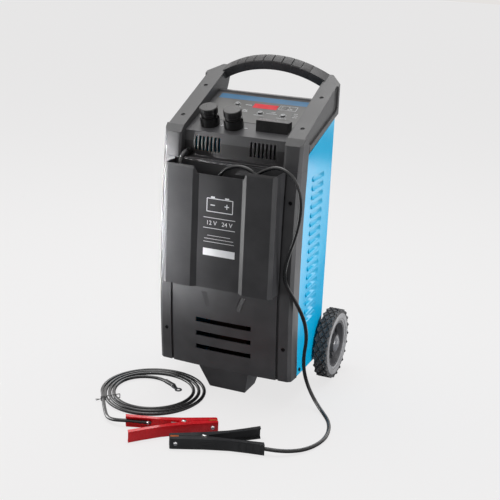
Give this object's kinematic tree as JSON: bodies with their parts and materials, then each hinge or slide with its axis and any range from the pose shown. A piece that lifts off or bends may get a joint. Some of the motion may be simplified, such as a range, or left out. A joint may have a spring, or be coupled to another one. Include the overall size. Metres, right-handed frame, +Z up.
{
  "type": "wheeled battery charger",
  "caption": "Upright workshop battery charger on a front foot and two wheels, with an arched handle, sloping control deck, front cable pocket and clamp leads.",
  "frame": {"origin": "floor level, under the middle of the charger without its leads", "axes": "+Z up; the front with the cable pocket faces -Y; +X is the side on the right when it is seen from the front"},
  "size_m": [0.5341, 0.5977, 0.7258],
  "materials": {
    "dark_plastic": "fine-grained moulding",
    "grey_plastic": "fine-grained moulding",
    "blue_paint": "smooth gloss paint",
    "zinc_steel": "zinc plated",
    "tyre_rubber": "black solid tyre",
    "cap_plastic": "satin",
    "black_plastic": "moulded, satin gloss",
    "nickel_brass": "nickel plated",
    "label_film": "printed film",
    "display_red": "tinted window",
    "button_plastic": "moulded",
    "board_green": "solder mask",
    "core_steel": "laminated, varnished",
    "copper": "bare copper",
    "sink_aluminium": "extruded",
    "lead_rubber": "smooth flexible jacket",
    "black_clamp_paint": "satin coating",
    "red_clamp_paint": "gloss coating"
  },
  "bodies": {
    "charger": {"axle": "zinc_steel", "axle_brackets": "zinc_steel", "axle_washers": "zinc_steel", "base_tray": "zinc_steel", "black_cable_arm": "black_clamp_paint", "cable_pocket": "dark_plastic", "clamp_crimps": "zinc_steel", "clamp_rivets": "zinc_steel", "clamp_springs": "zinc_steel", "coil_tie": "lead_rubber", "console_housing": "dark_plastic", "control_board": "board_green", "control_label": "label_film", "display_window": "display_red", "fan_frame": "black_plastic", "fixed_teeth": "copper", "front_foot": "dark_plastic", "front_panel": "dark_plastic", "fuse_plate": "dark_plastic", "fuse_strip": "copper", "fuse_studs": "zinc_steel", "handle_frame": "grey_plastic", "heat_sink": "sink_aluminium", "housing_screws": "zinc_steel", "indicator_lamps": "display_red", "left_side_panel": "blue_paint", "mains_gland": "dark_plastic", "negative_cable": "lead_rubber", "negative_gland": "dark_plastic", "positive_cable": "lead_rubber", "positive_coil": "lead_rubber", "rear_panel": "blue_paint", "rectifier_diodes": "black_plastic", "red_cable_arm": "red_clamp_paint", "right_side_panel": "blue_paint", "ring_lug": "nickel_brass", "terminal_collars": "dark_plastic", "terminal_studs": "zinc_steel", "transformer_brackets": "zinc_steel", "transformer_core": "core_steel", "transformer_windings": "copper"},
    "left_wheel": {"left_tyre": "tyre_rubber", "left_rim": "dark_plastic", "left_hub_cap": "cap_plastic"},
    "right_wheel": {"right_tyre": "tyre_rubber", "right_rim": "dark_plastic", "right_hub_cap": "cap_plastic"},
    "left_clamp_washer": {"left_terminal_washer": "nickel_brass"},
    "left_knob": {"left_terminal_knob": "black_plastic"},
    "right_clamp_washer": {"right_terminal_washer": "nickel_brass"},
    "right_knob": {"right_terminal_knob": "black_plastic"},
    "fuse_cover": {"fuse_cover": "black_plastic"},
    "select_button": {"select_button": "button_plastic"},
    "voltage_button": {"voltage_button": "button_plastic"},
    "start_button": {"start_button": "button_plastic"},
    "fan_rotor": {"fan_rotor": "black_plastic"},
    "black_clamp_free_arm": {"black_free_arm": "black_clamp_paint", "black_free_teeth": "copper"},
    "red_clamp_free_arm": {"red_free_arm": "red_clamp_paint", "red_free_teeth": "copper"}
  },
  "joints": [
    {"name": "left_wheel_spin", "type": "hinge", "parent": "charger", "child": "left_wheel", "pos_m": [-0.178, 0.0963, 0.081], "axis": [1, 0, 0], "continuous": true},
    {"name": "right_wheel_spin", "type": "hinge", "parent": "charger", "child": "right_wheel", "pos_m": [0.178, 0.0963, 0.081], "axis": [1, 0, 0], "continuous": true},
    {"name": "left_clamp_washer_slide", "type": "slide", "parent": "charger", "child": "left_clamp_washer", "axis": [0, -0.3322, 0.9432], "range_m": [0, 0.0025]},
    {"name": "left_knob_turn", "type": "hinge", "parent": "left_clamp_washer", "child": "left_knob", "pos_m": [-0.074, -0.06629, 0.59303], "axis": [0, -0.3322, 0.9432], "range_deg": [0, 720]},
    {"name": "right_clamp_washer_slide", "type": "slide", "parent": "charger", "child": "right_clamp_washer", "axis": [0, -0.3322, 0.9432], "range_m": [0, 0.0025]},
    {"name": "right_knob_turn", "type": "hinge", "parent": "right_clamp_washer", "child": "right_knob", "pos_m": [-0.019, -0.06629, 0.59303], "axis": [0, -0.3322, 0.9432], "range_deg": [0, 720]},
    {"name": "fuse_cover_lift", "type": "slide", "parent": "charger", "child": "fuse_cover", "axis": [0, 0, 1], "range_m": [0, 0.03]},
    {"name": "select_press", "type": "slide", "parent": "charger", "child": "select_button", "axis": [0, 0.3322, -0.9432], "range_m": [0, 0.0012], "stiffness_N_per_m": 400, "springref_m": -0.0004},
    {"name": "voltage_press", "type": "slide", "parent": "charger", "child": "voltage_button", "axis": [0, 0.3322, -0.9432], "range_m": [0, 0.0012], "stiffness_N_per_m": 400, "springref_m": -0.0004},
    {"name": "start_press", "type": "slide", "parent": "charger", "child": "start_button", "axis": [0, 0.3322, -0.9432], "range_m": [0, 0.0012], "stiffness_N_per_m": 400, "springref_m": -0.0004},
    {"name": "fan_spin", "type": "hinge", "parent": "charger", "child": "fan_rotor", "pos_m": [0, 0.0577, 0.36], "axis": [0, 1, 0], "continuous": true},
    {"name": "black_clamp_open", "type": "hinge", "parent": "charger", "child": "black_clamp_free_arm", "pos_m": [0.069, -0.3623, 0.0127], "axis": [0, 0, -1], "range_deg": [0, 16], "stiffness_Nm_per_rad": 1, "springref_deg": -11.46},
    {"name": "red_clamp_open", "type": "hinge", "parent": "charger", "child": "red_clamp_free_arm", "pos_m": [0.0045, -0.3228, 0.0127], "axis": [0, 0, -1], "range_deg": [0, 16], "stiffness_Nm_per_rad": 1, "springref_deg": -11.46}
  ],
  "couplings": [
    {"joint": "left_clamp_washer_slide", "follows": "left_knob_turn", "m_per_rad": 0.00019894},
    {"joint": "right_clamp_washer_slide", "follows": "right_knob_turn", "m_per_rad": 0.00019894}
  ]
}
